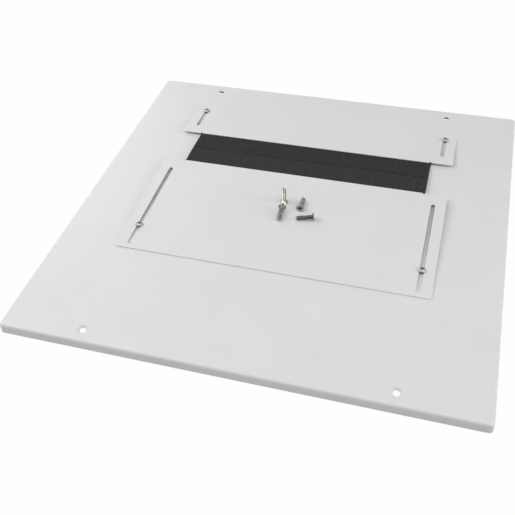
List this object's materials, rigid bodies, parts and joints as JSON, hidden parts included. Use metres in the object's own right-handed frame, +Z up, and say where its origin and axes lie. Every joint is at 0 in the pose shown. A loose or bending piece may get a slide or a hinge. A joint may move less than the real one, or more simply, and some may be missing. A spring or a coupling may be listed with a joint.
{
  "type": "enclosure top plate",
  "caption": "Square folded sheet-steel enclosure top plate with an adjustable cable entry: slotted slide plates on clamp screws close foam strips over an aperture.",
  "frame": {"origin": "middle of the rim's lower edges, where the plate rests", "axes": "+Z up through the sheet, +X across the slots to the right, +Y to the rear, along the way the slide plates move"},
  "size_m": [0.6, 0.6, 0.0447],
  "materials": {
    "painted_sheet": "light grey fine-textured powder coat on folded steel sheet",
    "painted_slide": "light grey fine-textured powder coat on flat steel sheet",
    "foam": "matt charcoal cellular rubber with open cut cells",
    "zinc_clamp": "blue-passivated zinc plate",
    "zinc_nut": "zinc plate",
    "steel_screw": "nickel-bright plated steel"
  },
  "bodies": {
    "base": {"top_plate": "painted_sheet", "clinch_nuts": "zinc_nut"},
    "front_slide": {"front_slide_plate": "painted_slide", "front_foam_strip": "foam", "mounting_screws": "steel_screw"},
    "rear_slide": {"rear_slide_plate": "painted_slide", "rear_foam_strip": "foam"},
    "front_clamps": {"clamp_screws": "zinc_clamp"},
    "rear_clamps": {"rear_clamp_screws": "zinc_clamp"}
  },
  "joints": [
    {"name": "front_slide_travel", "type": "slide", "parent": "base", "child": "front_slide", "axis": [0, -1, 0], "range_m": [0, 0.1288]},
    {"name": "rear_slide_travel", "type": "slide", "parent": "base", "child": "rear_slide", "axis": [0, 1, 0], "range_m": [0, 0.0435]},
    {"name": "front_clamp_lift", "type": "slide", "parent": "base", "child": "front_clamps", "axis": [0, 0, 1], "range_m": [0, 0.00387]},
    {"name": "rear_clamp_lift", "type": "slide", "parent": "base", "child": "rear_clamps", "axis": [0, 0, 1], "range_m": [0, 0.00197]}
  ],
  "couplings": [
    {"joint": "front_clamp_lift", "follows": "front_slide_travel", "ratio": 0.03},
    {"joint": "rear_clamp_lift", "follows": "rear_slide_travel", "ratio": 0.0451}
  ]
}
